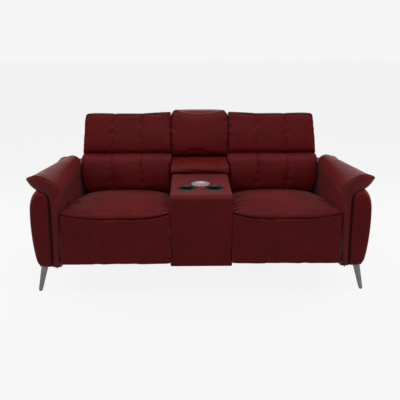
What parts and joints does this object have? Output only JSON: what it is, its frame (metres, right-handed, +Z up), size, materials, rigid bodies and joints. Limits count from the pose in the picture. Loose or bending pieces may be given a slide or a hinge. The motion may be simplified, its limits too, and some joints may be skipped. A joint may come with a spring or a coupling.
{
  "type": "power reclining sofa",
  "caption": "Leather reclining sofa with a fixed console between the seats; seats slide as backs recline, footrests unfold, headrests tilt, on splayed metal legs.",
  "frame": {"origin": "middle of the footprint on the floor", "axes": "+X to the right seen from the front, +Y to the back, +Z up; left and right halves are mirror images across X = 0"},
  "size_m": [1.9988, 0.9623, 0.9845],
  "materials": {
    "leather": "soft semi-matt leather, dark wine red",
    "dark_leather": "soft semi-matt leather, shaded wine red",
    "timber": "bare frame timber and board",
    "steel": "plain bright steel",
    "gunmetal": "dark grey satin coat",
    "black_plastic": "black, lightly textured",
    "rocker_plastic": "dark grey, smooth",
    "cup_plastic": "black gloss",
    "tray_metal": "spun satin metal"
  },
  "bodies": {
    "base": {"base_frame": "timber", "front_left_leg": "gunmetal", "front_right_leg": "gunmetal", "rear_left_leg": "gunmetal", "rear_right_leg": "gunmetal", "leg_glides": "black_plastic", "leg_fittings": "black_plastic", "left_arm_frame": "timber", "right_arm_frame": "timber", "left_arm_inner_panel": "leather", "right_arm_inner_panel": "leather", "left_arm_outer_panel": "leather", "right_arm_outer_panel": "leather", "left_arm_pillow": "leather", "right_arm_pillow": "leather", "console_shell": "dark_leather", "console_deck": "leather", "left_cup_holder": "cup_plastic", "right_cup_holder": "cup_plastic", "round_tray": "tray_metal", "center_back_frame": "timber", "center_bolster": "leather", "center_head_cushion": "leather", "left_switch_plate": "black_plastic", "right_switch_plate": "black_plastic", "power_inlet": "black_plastic", "left_slide_rails": "gunmetal", "right_slide_rails": "gunmetal"},
    "left_seat": {"left_seat_cushion": "leather", "left_seat_frame": "steel", "left_seat_springs": "steel", "left_footrest_motor": "black_plastic"},
    "left_front_links": {"left_front_links": "gunmetal"},
    "left_rear_links": {"left_rear_links": "steel"},
    "left_legrest": {"left_legrest_cushion": "leather", "left_legrest_frame": "timber"},
    "left_drive_block": {"left_drive_block": "steel"},
    "left_back": {"left_lumbar_cushion": "leather", "left_back_frame": "timber", "left_back_shell": "dark_leather"},
    "left_headrest": {"left_headrest_cushion": "leather", "left_headrest_frame": "steel"},
    "left_footrest_rocker": {"left_footrest_rocker": "rocker_plastic"},
    "left_headrest_rocker": {"left_headrest_rocker": "rocker_plastic"},
    "right_seat": {"right_seat_cushion": "leather", "right_seat_frame": "steel", "right_seat_springs": "steel", "right_footrest_motor": "black_plastic"},
    "right_front_links": {"right_front_links": "gunmetal"},
    "right_rear_links": {"right_rear_links": "steel"},
    "right_legrest": {"right_legrest_cushion": "leather", "right_legrest_frame": "timber"},
    "right_drive_block": {"right_drive_block": "steel"},
    "right_back": {"right_lumbar_cushion": "leather", "right_back_frame": "timber", "right_back_shell": "dark_leather"},
    "right_headrest": {"right_headrest_cushion": "leather", "right_headrest_frame": "steel"},
    "right_footrest_rocker": {"right_footrest_rocker": "rocker_plastic"},
    "right_headrest_rocker": {"right_headrest_rocker": "rocker_plastic"}
  },
  "joints": [
    {"name": "left_seat_slide", "type": "slide", "parent": "base", "child": "left_seat", "axis": [0, -1, 0], "range_m": [0, 0.08]},
    {"name": "left_back_recline", "type": "hinge", "parent": "left_seat", "child": "left_back", "pos_m": [-0.478, 0.168, 0.323], "axis": [-1, 0, 0], "range_deg": [0, 32]},
    {"name": "left_footrest_lift", "type": "hinge", "parent": "left_seat", "child": "left_front_links", "pos_m": [-0.478, -0.36, 0.33], "axis": [-1, 0, 0], "range_deg": [0, 67]},
    {"name": "left_rear_link_fold", "type": "hinge", "parent": "left_front_links", "child": "left_rear_links", "pos_m": [-0.478, -0.40141, 0.17545], "axis": [-1, 0, 0], "range_deg": [-134, 0]},
    {"name": "left_legrest_turn", "type": "hinge", "parent": "left_rear_links", "child": "left_legrest", "pos_m": [-0.478, -0.39862, 0.33543], "axis": [-1, 0, 0], "range_deg": [0, 147]},
    {"name": "left_motor_drive", "type": "slide", "parent": "left_seat", "child": "left_drive_block", "axis": [0, -1, 0], "range_m": [0, 0.0884]},
    {"name": "left_headrest_tilt", "type": "hinge", "parent": "left_back", "child": "left_headrest", "pos_m": [-0.478, 0.165, 0.71], "axis": [1, 0, 0], "range_deg": [0, 38]},
    {"name": "left_footrest_switch", "type": "hinge", "parent": "base", "child": "left_footrest_rocker", "pos_m": [-0.172, -0.34, 0.532], "axis": [0, 0, 1], "range_deg": [-8, 8], "stiffness_Nm_per_rad": 0.05},
    {"name": "left_headrest_switch", "type": "hinge", "parent": "base", "child": "left_headrest_rocker", "pos_m": [-0.172, -0.34, 0.554], "axis": [0, 0, 1], "range_deg": [-8, 8], "stiffness_Nm_per_rad": 0.05},
    {"name": "right_seat_slide", "type": "slide", "parent": "base", "child": "right_seat", "axis": [0, -1, 0], "range_m": [0, 0.08]},
    {"name": "right_back_recline", "type": "hinge", "parent": "right_seat", "child": "right_back", "pos_m": [0.478, 0.168, 0.323], "axis": [-1, 0, 0], "range_deg": [0, 32]},
    {"name": "right_footrest_lift", "type": "hinge", "parent": "right_seat", "child": "right_front_links", "pos_m": [0.478, -0.36, 0.33], "axis": [-1, 0, 0], "range_deg": [0, 67]},
    {"name": "right_rear_link_fold", "type": "hinge", "parent": "right_front_links", "child": "right_rear_links", "pos_m": [0.478, -0.40141, 0.17545], "axis": [-1, 0, 0], "range_deg": [-134, 0]},
    {"name": "right_legrest_turn", "type": "hinge", "parent": "right_rear_links", "child": "right_legrest", "pos_m": [0.478, -0.39862, 0.33543], "axis": [-1, 0, 0], "range_deg": [0, 147]},
    {"name": "right_motor_drive", "type": "slide", "parent": "right_seat", "child": "right_drive_block", "axis": [0, -1, 0], "range_m": [0, 0.0884]},
    {"name": "right_headrest_tilt", "type": "hinge", "parent": "right_back", "child": "right_headrest", "pos_m": [0.478, 0.165, 0.71], "axis": [1, 0, 0], "range_deg": [0, 38]},
    {"name": "right_footrest_switch", "type": "hinge", "parent": "base", "child": "right_footrest_rocker", "pos_m": [0.172, -0.34, 0.532], "axis": [0, 0, 1], "range_deg": [-8, 8], "stiffness_Nm_per_rad": 0.05},
    {"name": "right_headrest_switch", "type": "hinge", "parent": "base", "child": "right_headrest_rocker", "pos_m": [0.172, -0.34, 0.554], "axis": [0, 0, 1], "range_deg": [-8, 8], "stiffness_Nm_per_rad": 0.05}
  ],
  "couplings": [
    {"joint": "left_back_recline", "follows": "left_seat_slide", "rad_per_m": 6.98},
    {"joint": "left_rear_link_fold", "follows": "left_footrest_lift", "ratio": -2},
    {"joint": "left_legrest_turn", "follows": "left_footrest_lift", "ratio": 2.194},
    {"joint": "left_motor_drive", "follows": "left_footrest_lift", "m_per_rad": 0.0755},
    {"joint": "right_back_recline", "follows": "right_seat_slide", "rad_per_m": 6.98},
    {"joint": "right_rear_link_fold", "follows": "right_footrest_lift", "ratio": -2},
    {"joint": "right_legrest_turn", "follows": "right_footrest_lift", "ratio": 2.194},
    {"joint": "right_motor_drive", "follows": "right_footrest_lift", "m_per_rad": 0.0755}
  ]
}
